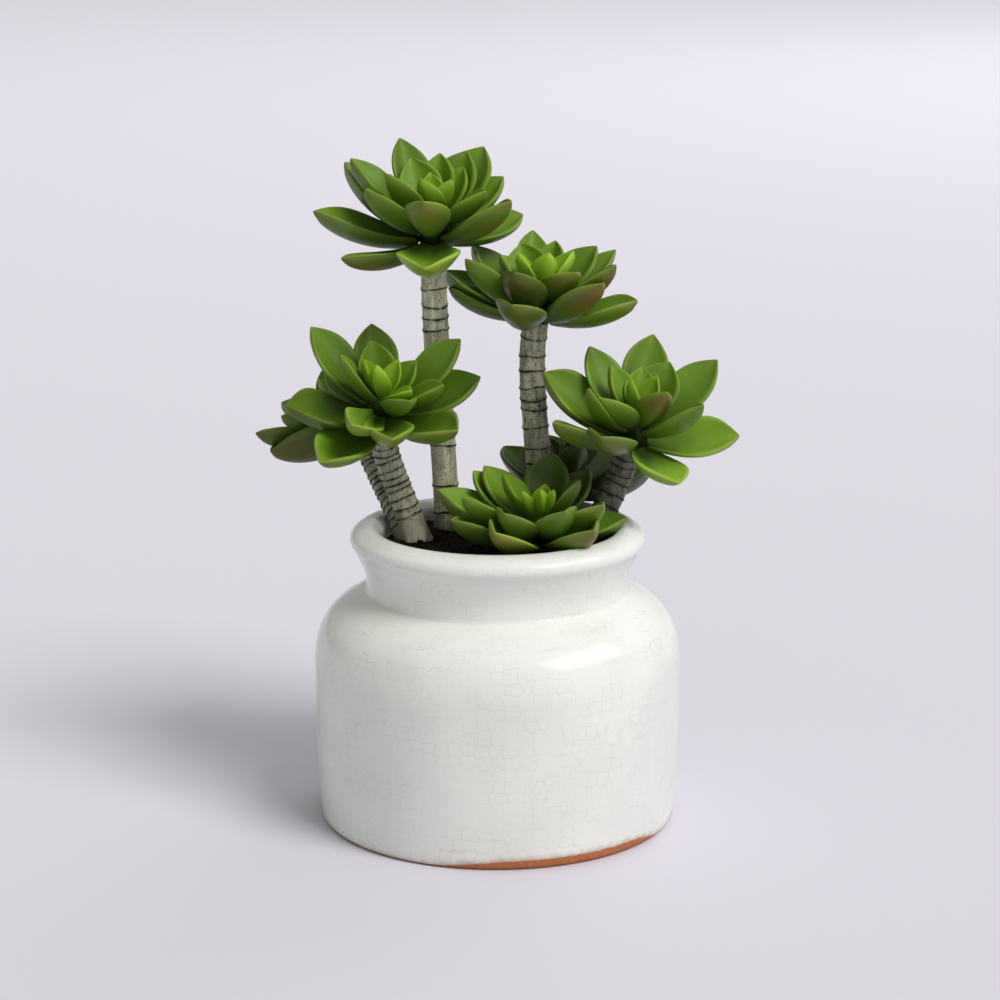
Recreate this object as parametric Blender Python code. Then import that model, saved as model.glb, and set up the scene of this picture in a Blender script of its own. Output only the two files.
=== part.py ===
"""A potted succulent: seven leaf rosettes on ringed stems, in soil, in a squat crackle-glazed pot.

Metres, +Z up. The pot stands on z = 0 with its axis on Z, and the front of the plant faces -Y.
"""

import math
import random
from typing import NamedTuple

import bmesh
import bpy
from mathutils import Matrix, Vector
from mathutils.geometry import interpolate_bezier

MM = 0.001

# Pot: radii and heights of its turned outline
POT_RADIUS = 70.0 * MM
FOOT_RADIUS = 67.6 * MM
FOOT_ROUND = 2.0 * MM
BELLY_Z = 62.0 * MM
CREASE = (50.2 * MM, 88.7 * MM)
LIP_UNDER = (53.6 * MM, 103.6 * MM)
LIP_CENTRE = (48.8 * MM, 109.2 * MM)
LIP_OUT = 7.3 * MM
LIP_IN = 4.7 * MM
LIP_HALF_HEIGHT = 5.1 * MM
WALL = 6.0 * MM
NECK_INSIDE = 44.0 * MM
NECK_INSIDE_Z = (88.0 * MM, 104.3 * MM)
FLOOR = 8.0 * MM
POT_SIDES = 32

# Soil: what fills the pot, level with the inside of the lip
SOIL_Z = 106.3 * MM
SOIL_MOUND = 0.5 * MM
HOLE_DEPTH = 18.0 * MM

# Gap that meshes keep where they touch
GAP = 0.3 * MM

# Stems: a ring scar stands out a little, all round, and the bark between two scars narrows upwards
STEM_RADIUS = 4.9 * MM
RING_RISE = 0.45 * MM
RING_STEP = 1.0 * MM
STEM_SIDES = 8
STEM_NECK = 2.0 * MM
FLARE_FADE = 5.0 * MM
PATH_STEPS = 24

# Crown: the short core that a rosette's leaves grow from, as radius and height along its axis
CROWN = ((4.8, -6.5), (6.8, -0.5), (6.4, 6.5), (2.4, 13.0))
CROWN_SIDES = 6

# Leaf: across its section and along its length
LEAF_COLUMNS = 6
LEAF_STATIONS = (0.12, 0.5, 0.8, 1.0)
LEAF_ROOT_WIDTH = 0.28
LEAF_WIDEST = 0.62
RIM_THICKNESS = 1.5 * MM


class LeafSize(NamedTuple):
    """What the leaves of one whorl share: the length, width and keel of a full-grown one, how
    far the rims rise over the crease as a share of the width, the bend along the leaf in
    degrees, and the height at which they leave the crown."""

    length: float
    width: float
    keel: float
    cup: float
    bend: float
    height: float


LEAF_SIZES = {
    "outer": LeafSize(42.0 * MM, 21.5 * MM, 2.8 * MM, 0.25, 46.0, 0.0),
    "middle": LeafSize(39.0 * MM, 19.5 * MM, 2.6 * MM, 0.24, 38.0, 3.0 * MM),
    "inner": LeafSize(29.0 * MM, 16.0 * MM, 2.3 * MM, 0.24, 28.0, 6.0 * MM),
    "heart": LeafSize(17.0 * MM, 9.0 * MM, 1.9 * MM, 0.24, 20.0, 9.0 * MM),
}


class Stem(NamedTuple):
    """A stem from its place in the soil in millimetres, with the lean it leaves at, the gap
    between its ring scars and how far its foot flares."""

    root: tuple
    lean: tuple
    ring_gap: float
    flare: float


class Head(NamedTuple):
    """A rosette: its crown's place, the lean of its axis and the compass turn it leans toward
    (0 is +X, 90 is +Y), and for each whorl the turn and rise in degrees and the length in
    millimetres of every leaf."""

    crown: tuple
    lean: float
    toward: float
    whorls: dict


HEADS = {
    "rosette_top_left": Head(
        crown=(-24, 21, 220),
        lean=12,
        toward=-85,
        whorls={
            "outer": (
                (-142, 2, 43), (-91, 9, 42), (-35, 33, 42), (34, 4, 41), (74, 12, 38),
                (112, 12, 38), (153, 32, 46), (180, 12, 46),
            ),
            "middle": (
                (-143, 36, 39), (-94, 36, 39), (39, 25, 37), (53, 41, 40), (68, 37, 39),
                (119, 45, 41), (165, 38, 42),
            ),
            "inner": ((-154, 49, 30), (-35, 38, 30), (54, 45, 26), (85, 51, 29), (122, 50, 28)),
            "heart": ((-135, 68, 18), (-30, 66, 18), (110, 70, 17)),
        },
    ),
    "rosette_top_right": Head(
        crown=(14.8, 20, 190.5),
        lean=8,
        toward=-35,
        whorls={
            "outer": (
                (-106, 18, 42), (-53, 32, 43), (-22, 20, 42), (62, 12, 38), (108, 12, 38),
                (153, 13, 43), (166, 9, 36),
            ),
            "middle": (
                (-152, 31, 39), (-110, 32, 39), (-38, 37, 42), (26, 37, 39), (49, 34, 39),
                (98, 38, 39), (144, 28, 38),
            ),
            "inner": ((-58, 37, 29), (76, 47, 28), (115, 41, 27), (167, 43, 23)),
            "heart": ((-173, 57, 18), (-75, 70, 19), (16, 56, 21)),
        },
    ),
    "rosette_left": Head(
        crown=(-43, 2, 155),
        lean=28,
        toward=-85,
        whorls={
            "outer": (
                (-160, 21, 41), (-122, 9, 42), (-42, 23, 41), (19, 17, 40), (95, 10, 34),
                (128, 8, 36),
            ),
            "middle": ((-108, 30, 39), (-79, 24, 39), (29, 37, 40), (101, 27, 37), (148, 37, 42)),
            "inner": ((-172, 57, 30), (-63, 40, 30), (-24, 38, 31), (43, 41, 21), (111, 51, 25)),
            "heart": ((-132, 78, 19), (-43, 41, 19), (62, 48, 16), (167, 65, 19)),
        },
    ),
    "rosette_left_back": Head(
        crown=(-53, 28, 144),
        lean=25,
        toward=170,
        whorls={
            "outer": ((-158, 25, 42), (-140, 15, 42), (110, 12, 40), (70, 14, 38), (30, 14, 34)),
            "middle": ((-128, 27, 39), (142, 30, 38), (90, 35, 34), (45, 35, 30)),
            "inner": ((170, 48, 28), (110, 55, 26), (30, 50, 24)),
            "heart": ((150, 65, 18), (40, 68, 17), (-90, 68, 16)),
        },
    ),
    "rosette_right": Head(
        crown=(51.3, 8, 145.5),
        lean=22,
        toward=-50,
        whorls={
            "outer": (
                (-146, 15, 42), (-65, 9, 42), (-2, 17, 41), (45, 37, 47), (88, 37, 46),
                (130, 10, 38), (174, 23, 43),
            ),
            "middle": ((-141, 37, 39), (-117, 21, 39), (-46, 46, 39), (73, 27, 38), (136, 32, 38)),
            "inner": ((-139, 33, 30), (-73, 56, 30), (96, 42, 24), (145, 44, 25)),
            "heart": ((65, 68, 18), (-60, 66, 16), (180, 66, 17)),
        },
    ),
    "rosette_low_front": Head(
        crown=(16.4, -9, 111.5),
        lean=5,
        toward=-90,
        whorls={
            "outer": (
                (-149, 21, 42), (-116, 21, 42), (-61, 22, 42), (8, 13, 34), (125, 12, 34),
                (164, 22, 44),
            ),
            "middle": (
                (-151, 30, 39), (-114, 28, 39), (-76, 30, 39), (-48, 30, 39),
                (45, 36, 33), (136, 34, 36), (140, 28, 38),
            ),
            "inner": ((73, 55, 29), (-10, 52, 24), (165, 52, 24)),
            "heart": ((-131, 51, 16), (-91, 57, 15), (-61, 55, 16), (71, 66, 13)),
        },
    ),
    "rosette_low_back": Head(
        crown=(27.5, 27.5, 119.5),
        lean=5,
        toward=60,
        whorls={
            "outer": ((36, 11, 42), (82, 12, 38), (130, 19, 42)),
            "middle": ((57, 20, 38), (105, 26, 36)),
            "inner": ((-80, 49, 20), (65, 40, 27), (142, 50, 20)),
            "heart": ((-176, 74, 12), (-37, 60, 13), (60, 66, 15)),
        },
    ),
}

STEMS = {
    "stem_top_left": ("rosette_top_left", Stem((-19.5, 25), (-0.03, 0.0), 6.0, 0.4)),
    "stem_top_right": ("rosette_top_right", Stem((17.7, 19.5), (0.0, 0.0), 5.6, 0.4)),
    "stem_right": ("rosette_right", Stem((35, 4), (0.5, 0.1), 3.8, 0.4)),
    "stem_low_front": ("rosette_low_front", Stem((16.4, -9), (0.0, 0.0), 4.0, 0.0)),
    "stem_low_back": ("rosette_low_back", Stem((27.2, 27), (0.0, 0.0), 4.0, 0.0)),
}

FORK_STEMS = {
    "rosette_left": Stem((-31, 6), (-0.2, 0.0), 3.0, 1.2),
    "rosette_left_back": Stem((-33.5, 8), (-0.45, 0.33), 3.0, 0.6),
}


def material(name, colour, roughness):
    """A plain Principled material in the part's own colour."""
    made = bpy.data.materials.new(name)
    made.use_nodes = True
    made.diffuse_color = (*colour, 1.0)
    shader = made.node_tree.nodes["Principled BSDF"]
    shader.inputs["Base Color"].default_value = (*colour, 1.0)
    shader.inputs["Roughness"].default_value = roughness
    return made


def add_object(name, bm, finish=None):
    """An object of the scene from a finished bmesh, smooth but for its sharp edges."""
    bmesh.ops.recalc_face_normals(bm, faces=bm.faces)
    mesh = bpy.data.meshes.new(name)
    bm.to_mesh(mesh)
    bm.free()
    if finish:
        mesh.materials.append(finish)
    mesh.shade_smooth()
    mesh.set_sharp_from_angle(angle=math.radians(40))
    made = bpy.data.objects.new(name, mesh)
    bpy.context.scene.collection.objects.link(made)
    return made


def baked(target):
    """Gives the object the mesh that its modifiers make, and drops the modifiers."""
    bpy.context.view_layer.update()
    graph = bpy.context.evaluated_depsgraph_get()
    old = target.data
    target.data = bpy.data.meshes.new_from_object(target.evaluated_get(graph))
    target.data.name = target.name
    target.modifiers.clear()
    bpy.data.meshes.remove(old)


def combine(target, others, operation, solver="EXACT"):
    """Joins the others to the target, or cuts them from it, and removes them."""
    tools = bpy.data.collections.new("tools")
    bpy.context.scene.collection.children.link(tools)
    for other in others:
        bpy.context.scene.collection.objects.unlink(other)
        tools.objects.link(other)
    boolean = target.modifiers.new("combine", "BOOLEAN")
    boolean.operation = operation
    boolean.solver = solver
    boolean.operand_type = "COLLECTION"
    boolean.collection = tools
    baked(target)
    for other in others:
        bpy.data.objects.remove(other)
    bpy.data.collections.remove(tools)


def bezier(start, start_pull, end_pull, end, steps):
    """Points (radius, height) along one curve, both ends included."""
    ends = [Vector((*point, 0.0)) for point in (start, start_pull, end_pull, end)]
    return [(point.x, point.y) for point in interpolate_bezier(*ends, steps)]


def lip_outline(start, end, steps):
    """Points (radius, height) round the rolled lip, wider outside its crest than inside."""
    points = []
    for step in range(steps + 1):
        angle = math.radians(start + (end - start) * step / steps)
        reach = LIP_OUT if angle < math.pi / 2 else LIP_IN
        radius = LIP_CENTRE[0] + reach * math.cos(angle)
        points.append((radius, LIP_CENTRE[1] + LIP_HALF_HEIGHT * math.sin(angle)))
    return points


def side_outline():
    """The pot's outside from the top of the foot's edge up to the underside of the lip."""
    belly = bezier(
        (FOOT_RADIUS + FOOT_ROUND * 0.3, FOOT_ROUND),
        (POT_RADIUS - 0.4 * MM, 18.0 * MM),
        (POT_RADIUS, 40.0 * MM),
        (POT_RADIUS, BELLY_Z),
        4,
    )
    shoulder = bezier((POT_RADIUS, BELLY_Z), (POT_RADIUS, 78.0 * MM), (62.0 * MM, 85.5 * MM), CREASE, 7)
    neck = bezier(CREASE, (49.4 * MM, 93.5 * MM), (50.8 * MM, 99.0 * MM), LIP_UNDER, 4)
    return belly + shoulder[1:] + neck[1:]


def moved_in(points, distance):
    """The outline moved towards the pot's axis, square to itself."""
    moved = []
    for index, (radius, height) in enumerate(points):
        before = points[max(index - 1, 0)]
        after = points[min(index + 1, len(points) - 1)]
        along = Vector((after[0] - before[0], after[1] - before[1])).normalized()
        moved.append((radius - along.y * distance, height + along.x * distance))
    return moved


def inner_outline(gap):
    """The inside of the wall, or a surface that far from it, from the neck down to the floor."""
    side = moved_in(side_outline(), WALL + gap)
    body = [point for point in side if FLOOR + WALL < point[1] < NECK_INSIDE_Z[0] - 2.0 * MM]
    neck = [(NECK_INSIDE - gap, height) for height in NECK_INSIDE_Z]
    return neck[::-1] + body[::-1]


def turned(outline, sides):
    """A solid of revolution from an outline that starts and ends on the axis."""
    bm = bmesh.new()
    verts = [bm.verts.new((radius, 0.0, height)) for radius, height in outline]
    edges = [bm.edges.new(pair) for pair in zip(verts, verts[1:])]
    bmesh.ops.spin(
        bm,
        geom=verts + edges,
        axis=(0, 0, 1),
        cent=(0, 0, 0),
        angle=math.tau,
        steps=sides,
        use_merge=True,
    )
    bmesh.ops.remove_doubles(bm, verts=bm.verts, dist=0.01 * MM)
    return bm


def make_pot():
    """One wall of clay from the foot up, over the rolled lip and down to the floor inside."""
    lip = lip_outline(-40, 200, 8)
    foot = [(0.0, 0.0), (FOOT_RADIUS - FOOT_ROUND, 0.0), (FOOT_RADIUS - FOOT_ROUND * 0.3, FOOT_ROUND * 0.3)]
    inside = inner_outline(0.0)
    floor = [(inside[-1][0] - 3.0 * MM, FLOOR), (0.0, FLOOR)]
    outline = foot + side_outline()[:-1] + lip + inside + floor
    add_object("pot", turned(outline, POT_SIDES), material("glazed_clay", (0.72, 0.73, 0.68), 0.2))


def swept(points, radii, sides):
    """A closed tube along the points, each with its own radius."""
    bm = bmesh.new()
    side = Vector((1.0, 0.0, 0.0))
    loops = []
    for index, (point, radius) in enumerate(zip(points, radii)):
        along = (points[min(index + 1, len(points) - 1)] - points[max(index - 1, 0)]).normalized()
        side = (side - along * side.dot(along)).normalized()
        other = along.cross(side)
        loop = []
        for corner in range(sides):
            angle = math.tau * corner / sides
            loop.append(bm.verts.new(point + (side * math.cos(angle) + other * math.sin(angle)) * radius))
        loops.append(loop)
    for lower, upper in zip(loops, loops[1:]):
        for corner in range(sides):
            following = (corner + 1) % sides
            bm.faces.new((lower[corner], lower[following], upper[following], upper[corner]))
    bm.faces.new(loops[0][::-1])
    bm.faces.new(loops[-1])
    return bm


def axes(head):
    """The rosette's own axes: across, back and up along its lean."""
    lean, toward = math.radians(head.lean), math.radians(head.toward)
    up = Vector((math.sin(lean) * math.cos(toward), math.sin(lean) * math.sin(toward), math.cos(lean)))
    turn = Vector((0.0, 0.0, 1.0)).rotation_difference(up)
    return turn @ Vector((1.0, 0.0, 0.0)), turn @ Vector((0.0, 1.0, 0.0)), up


def stem_path(stem, head):
    """Points from the end of the hole in the soil up to the underside of the crown."""
    up = axes(head)[2]
    top = Vector(head.crown) * MM + up * (CROWN[0][1] * MM - GAP)
    neck = top - up * STEM_NECK
    foot = Vector((*stem.root, 0.0)) * MM
    foot.z = min(SOIL_Z, neck.z - STEM_NECK)
    leaving = Vector((*stem.lean, 1.0)).normalized()
    reach = (neck - foot).length
    above = interpolate_bezier(foot, foot + leaving * reach * 0.3, neck - up * reach * 0.25, neck, PATH_STEPS)
    return [foot - leaving * HOLE_DEPTH] + above + [top]


def at_length(path, length):
    """The point that far along a path."""
    for start, end in zip(path, path[1:]):
        step = (end - start).length
        if length <= step:
            return start.lerp(end, length / step)
        length -= step
    return path[-1]


def flare_at(stem, length):
    """What the foot's flare adds to the radius, fading up the stem from the soil."""
    return stem.flare * MM * math.exp(-max(0.0, length - HOLE_DEPTH) / FLARE_FADE)


def ringed_stem(name, stem, head):
    """A stem whose ring scars follow each other by about its ring gap."""
    path = stem_path(stem, head)
    total = sum((end - start).length for start, end in zip(path, path[1:]))
    draw = random.Random(name)
    lengths = [0.0, HOLE_DEPTH]
    rises = [0.0, 0.0]
    place = HOLE_DEPTH + 1.5 * MM
    while place < total - STEM_NECK - RING_STEP:
        lengths += [place, place + RING_STEP]
        rises += [RING_RISE, 0.0]
        place += stem.ring_gap * MM * draw.uniform(0.8, 1.2)
    lengths += [total - STEM_NECK / 2, total]
    rises += [0.0, 0.0]
    points = [at_length(path, length) for length in lengths]
    radii = [STEM_RADIUS + rise + flare_at(stem, length) for rise, length in zip(rises, lengths)]
    return add_object(name, swept(points, radii, STEM_SIDES))


def hole_cutter(stem, head):
    """What a stem's hole takes out of the soil: its straight foot, a gap larger all round."""
    end, foot = stem_path(stem, head)[:2]
    along = (foot - end).normalized()
    points = [end - along * GAP, end + along * 2 * HOLE_DEPTH]
    radii = [STEM_RADIUS + stem.flare * MM + RING_RISE + GAP] * 2
    return add_object("hole", swept(points, radii, 2 * STEM_SIDES))


def make_stems():
    """The plain stems, then the fork, whose two stems are grown together at the foot."""
    bark = material("stem_bark", (0.36, 0.36, 0.28), 0.65)
    for name, (head_name, stem) in STEMS.items():
        made = ringed_stem(name, stem, HEADS[head_name])
        made.data.materials.append(bark)
    limbs = []
    for head_name, stem in FORK_STEMS.items():
        limbs.append(ringed_stem("stem_fork_left_" + head_name, stem, HEADS[head_name]))
    fork = limbs.pop(0)
    fork.name = "stem_fork_left"
    fork.data.materials.append(bark)
    combine(fork, limbs, "UNION")


def make_soil():
    """The soil, with a plain hole for each stem."""
    side = inner_outline(GAP)
    top = [(0.0, SOIL_Z + SOIL_MOUND), (22.0 * MM, SOIL_Z + SOIL_MOUND * 0.8), (side[0][0] - 0.6 * MM, SOIL_Z)]
    floor = [(side[-1][0] - 3.0 * MM, FLOOR + GAP), (0.0, FLOOR + GAP)]
    earth = material("soil", (0.03, 0.018, 0.014), 0.95)
    soil = add_object("soil", turned(top + side + floor, POT_SIDES), earth)
    cutters = [hole_cutter(stem, HEADS[head_name]) for head_name, stem in STEMS.values()]
    cutters += [hole_cutter(stem, HEADS[head_name]) for head_name, stem in FORK_STEMS.items()]
    combine(soil, cutters, "DIFFERENCE")


def half_width(along):
    """The leaf's outline: narrow at the root, widest past its middle, closing to an acute tip."""
    if along < LEAF_WIDEST:
        swell = math.sin(math.pi / 2 * along / LEAF_WIDEST) ** 1.7
        return LEAF_ROOT_WIDTH + (1.0 - LEAF_ROOT_WIDTH) * swell
    return math.cos(math.pi / 2 * (along - LEAF_WIDEST) / (1.0 - LEAF_WIDEST)) ** 0.7


def leaf_point(size, length, column, along):
    """A point of the leaf's skin, its root at the origin and its tip out along +Y.

    Columns run from the left rim over the crease to the right rim, and back under the keel."""
    across, rim = ((-1, 1), (0, 0), (1, 1), (1, 1), (0, 0), (-1, 1))[column]
    over = column < LEAF_COLUMNS // 2
    scale = length / size.length
    width = size.width / 2 * scale * half_width(along)
    closing = min(1.0, (1.0 - along) / 0.25) ** 0.5
    rise = rim * width * 2 * size.cup
    if over:
        rise += rim * RIM_THICKNESS / 2 * closing
    else:
        keel = size.keel * scale * (0.5 + 0.5 * half_width(along))
        rise -= (RIM_THICKNESS / 2 if rim else keel) * closing
    bend = math.radians(size.bend)
    radius = length / (2 * math.sin(bend / 2))
    angle = (along - 0.5) * bend
    out = length / 2 + (radius - rise) * math.sin(angle)
    up = radius * math.cos(bend / 2) - (radius - rise) * math.cos(angle)
    return Vector((across * width, out, up))


def make_leaf(size, length, place):
    """One leaf: a sheet rolled round its section, welded at the seam, the tip and the root."""
    bm = bmesh.new()
    rows = []
    for along in LEAF_STATIONS:
        rows.append([bm.verts.new(leaf_point(size, length, column, along)) for column in range(LEAF_COLUMNS)])
    for lower, upper in zip(rows, rows[1:]):
        for column in range(LEAF_COLUMNS):
            following = (column + 1) % LEAF_COLUMNS
            bm.faces.new((lower[column], lower[following], upper[following], upper[column]))
    bm.faces.new(rows[0][::-1])
    bmesh.ops.remove_doubles(bm, verts=bm.verts, dist=0.01 * MM)
    bmesh.ops.triangulate(bm, faces=bm.faces)
    bmesh.ops.transform(bm, matrix=place, verts=bm.verts)
    return add_object("leaf", bm)


def leaf_place(head, size, turn, rise):
    """Where a leaf leaves the crown, as a matrix: +Y out along the leaf and +Z to the heart."""
    across, back, up = axes(head)
    turn, rise = math.radians(turn), math.radians(rise)
    outward = across * math.cos(turn) + back * math.sin(turn)
    along = outward * math.cos(rise) + up * math.sin(rise)
    inward = up * math.cos(rise) - outward * math.sin(rise)
    place = Matrix((along.cross(inward), along, inward)).transposed().to_4x4()
    place.translation = Vector(head.crown) * MM + up * size.height
    return place


def make_rosette(name, head, flesh):
    """A crown with every leaf fused to it."""
    across, back, up = axes(head)
    turn = Matrix((across, back, up)).transposed().to_4x4()
    turn.translation = Vector(head.crown) * MM
    outline = [(0.0, CROWN[0][1] * MM)] + [(r * MM, z * MM) for r, z in CROWN] + [(0.0, CROWN[-1][1] * MM)]
    core = turned(outline, CROWN_SIDES)
    bmesh.ops.transform(core, matrix=turn, verts=core.verts)
    rosette = add_object(name, core, flesh)
    leaves = []
    for whorl, rows in head.whorls.items():
        size = LEAF_SIZES[whorl]
        for turn_of_leaf, rise, length in rows:
            leaves.append(make_leaf(size, length * MM, leaf_place(head, size, turn_of_leaf, rise)))
    combine(rosette, leaves, "UNION", "MANIFOLD")


def main():
    for old in list(bpy.data.objects):
        bpy.data.objects.remove(old)
    make_pot()
    make_soil()
    make_stems()
    flesh = material("leaf_flesh", (0.09, 0.2, 0.02), 0.4)
    for name, head in HEADS.items():
        make_rosette(name, head, flesh)


main()
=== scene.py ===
"""Looks of the potted succulent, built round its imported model.

Metres, +Z up, in the frame of the solids: the pot's axis is Z and the front of the plant faces -Y.
The places of stems and leaves are those of the part's own source, in millimetres and degrees.
"""

import math
import random
from typing import NamedTuple

import bmesh
import bpy
from mathutils import Matrix, Vector, noise
from mathutils.geometry import interpolate_bezier


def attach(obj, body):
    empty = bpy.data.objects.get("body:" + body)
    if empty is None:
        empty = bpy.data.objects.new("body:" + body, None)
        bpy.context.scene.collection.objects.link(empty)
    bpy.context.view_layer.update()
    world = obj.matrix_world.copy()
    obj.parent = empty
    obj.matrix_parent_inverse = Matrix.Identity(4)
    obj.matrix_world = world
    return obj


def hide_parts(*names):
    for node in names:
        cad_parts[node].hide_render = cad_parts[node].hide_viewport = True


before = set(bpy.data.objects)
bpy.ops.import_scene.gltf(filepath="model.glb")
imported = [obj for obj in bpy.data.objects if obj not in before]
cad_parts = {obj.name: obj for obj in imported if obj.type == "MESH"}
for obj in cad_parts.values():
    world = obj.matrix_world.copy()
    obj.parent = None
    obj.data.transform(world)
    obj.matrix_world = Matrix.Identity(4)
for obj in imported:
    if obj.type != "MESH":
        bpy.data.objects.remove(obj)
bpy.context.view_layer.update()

bl_info = {
    "name": "Potted Succulent",
    "version": (1, 0, 0),
    "blender": (4, 5, 0),
    "location": "3D View > Sidebar > Succulent",
    "description": "Glazed pot, soil, ringed stems and leaf rosettes of a potted succulent",
    "category": "Add Mesh",
}

MM = 0.001

# Pot: radii and heights of its turned outline
POT_RADIUS = 70.0 * MM
FOOT_RADIUS = 67.6 * MM
FOOT_ROUND = 2.0 * MM
BELLY_Z = 62.0 * MM
CREASE = (50.2 * MM, 88.7 * MM)
LIP_UNDER = (53.6 * MM, 103.6 * MM)
LIP_CENTRE = (48.8 * MM, 109.2 * MM)
LIP_OUT = 7.3 * MM
LIP_IN = 4.7 * MM
LIP_HALF_HEIGHT = 5.1 * MM
NECK_INSIDE = 44.0 * MM
INSIDE_END_Z = 98.0 * MM
POT_STEPS = 176

# Glaze: the radius at which the cracks are unrolled, and the shift of the small ones
SKIN_RADIUS = 62.0 * MM
SMALL_CRACK_SHIFT = (0.013, 0.007, 0.021)

# Bare clay at the foot: the X of its middle, its reach, its height and the Y where it fades in
CLAY_CENTRE = 28.0 * MM
CLAY_HALF_WIDTH = 56.0 * MM
CLAY_HEIGHT = 3.6 * MM
CLAY_FRONT = (-25.0 * MM, -45.0 * MM)

# Colours that no setting changes
GLAZE_SPECK = (0.12, 0.11, 0.08)
THIN_GLAZE = (0.46, 0.33, 0.22)
RED_SOIL = (0.075, 0.032, 0.018)
PALE_GRAIN = (0.2, 0.16, 0.12)
BARK_STAIN = (0.2, 0.19, 0.12)
SCAR_SHADOW = (0.12, 0.11, 0.07)
STEM_FOOT = (0.1, 0.08, 0.05)
FOOT_STRANDS = (0.4, 0.38, 0.28)
LEAF_BRONZE = (0.15, 0.12, 0.02)

# Soil
SOIL_Z = 106.3 * MM
SOIL_RADIUS = 43.5 * MM
SOIL_GRID = 150
SOIL_RISE = 0.6 * MM
SOIL_LUMPS = 0.9 * MM
SOIL_SKIRT = 3.0 * MM
CRUMBS = 260
CRUMB_SIZES = (0.4, 0.5, 0.6, 0.8, 1.1, 1.5)
CRUMB_RISE = 0.7 * MM

# Stems: the sinks are how far they run on into the soil and into the crown, and the fades
# are the heights over the soil in which the flare, the darker brown foot and the pale strands die away
STEM_RADIUS = 4.9 * MM
STEM_NECK = 2.0 * MM
STEM_SINK = 5.4 * MM
CROWN_SINK = 5.5 * MM
FLARE_FADE = 5.0 * MM
FOOT_FADE = 3.0 * MM
STRANDS_FADE = 8.0 * MM
# Painted shade that darkens each stem low down, fading with height over the soil
LOW_SHADE = 0.75
LOW_FADE = 32.0 * MM
RING_RISE = 0.3375 * MM
RING_WIDTH = 0.5 * MM
RING_STEP = 0.18 * MM
RINGLESS_FOOT = 6.5 * MM
STEM_SIDES = 30
STEM_ROW = 0.38 * MM
PATH_STEPS = 48
BARK_LAYERS = ("scar_distance", "foot", "strands", "painted_shade")

# Crown and leaves: the crown's outline (radius, height) and its foot in millimetres
GAP = 0.3 * MM
CROWN = ((4.0, -2.5), (5.6, -0.5), (6.0, 6.5), (2.6, 13.0), (2.0, 16.0), (0.8, 18.0))
BUD_START = 12.0 * MM
CROWN_FOOT = -6.5
CROWN_SIDES = 32
LEAF_AROUND = 40
LEAF_ROWS = 26
LEAF_ROOT = 0.1
LEAF_LAYERS = ("along", "across", "under", "young", "blush", "tone_and_shade")
TINT_SPREAD = (0.9, 1.08)
ROLL_SPREAD = 4.0
# Painted shade on the crown below its bud, deep among the leaf bases
CROWN_SHADE = 0.35
BUD_TINT = 0.8
RIM_THICKNESS = 2.1 * MM
RIM_START = 0.84


class LeafSize(NamedTuple):
    """What the leaves of one whorl share: the length, width and keel of a full-grown one, how
    far the rims rise over the crease as a share of the width, the bend along the leaf in
    degrees, the height at which they leave the crown, the width at the root as a share of the
    whole, where along the leaf it is widest, and how young it looks."""

    length: float
    width: float
    keel: float
    cup: float
    bend: float
    height: float
    root: float
    widest: float
    young: float


LEAF_SIZES = {
    "outer": LeafSize(42.0 * MM, 21.5 * MM, 2.8 * MM, 0.26, 50.0, 0.0, 0.28, 0.65, 0.0),
    "middle": LeafSize(39.0 * MM, 20.0 * MM, 2.6 * MM, 0.26, 48.0, 3.0 * MM, 0.3, 0.63, 0.1),
    "inner": LeafSize(29.0 * MM, 16.5 * MM, 2.3 * MM, 0.27, 40.0, 6.0 * MM, 0.4, 0.58, 0.35),
    "heart": LeafSize(17.0 * MM, 11.0 * MM, 1.9 * MM, 0.28, 34.0, 9.0 * MM, 0.5, 0.5, 1.0),
}


class Leaf(NamedTuple):
    """One leaf: its turn and rise in degrees, its length in millimetres, its red flush, its
    roll in degrees, its shares of the whorl's width and cup, and how much painted shade
    dims it; below nought it is painted light that brightens it."""

    turn: float
    rise: float
    length: float
    blush: float = 0.0
    roll: float = 0.0
    broad: float = 1.0
    deep: float = 1.0
    painted_leaf_shade: float = 0.0


class Stem(NamedTuple):
    """A stem from its place in the soil, in millimetres: the lean it leaves at, the gap between
    its ring scars, how far its foot flares, the heights of the scars that are set, and how much
    painted shade dims its bark, which also thickens its flecks."""

    root: tuple
    lean: tuple
    ring_gap: float
    flare: float
    set_rings: tuple = ()
    painted_shade: float = 0.0


class Head(NamedTuple):
    """A rosette: its crown's place, the lean of its axis and the compass turn it leans toward
    (0 is +X, 90 is +Y), how much painted shade dims it, and the leaves of each whorl."""

    crown: tuple
    lean: float
    toward: float
    painted_shade: float
    whorls: dict


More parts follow.
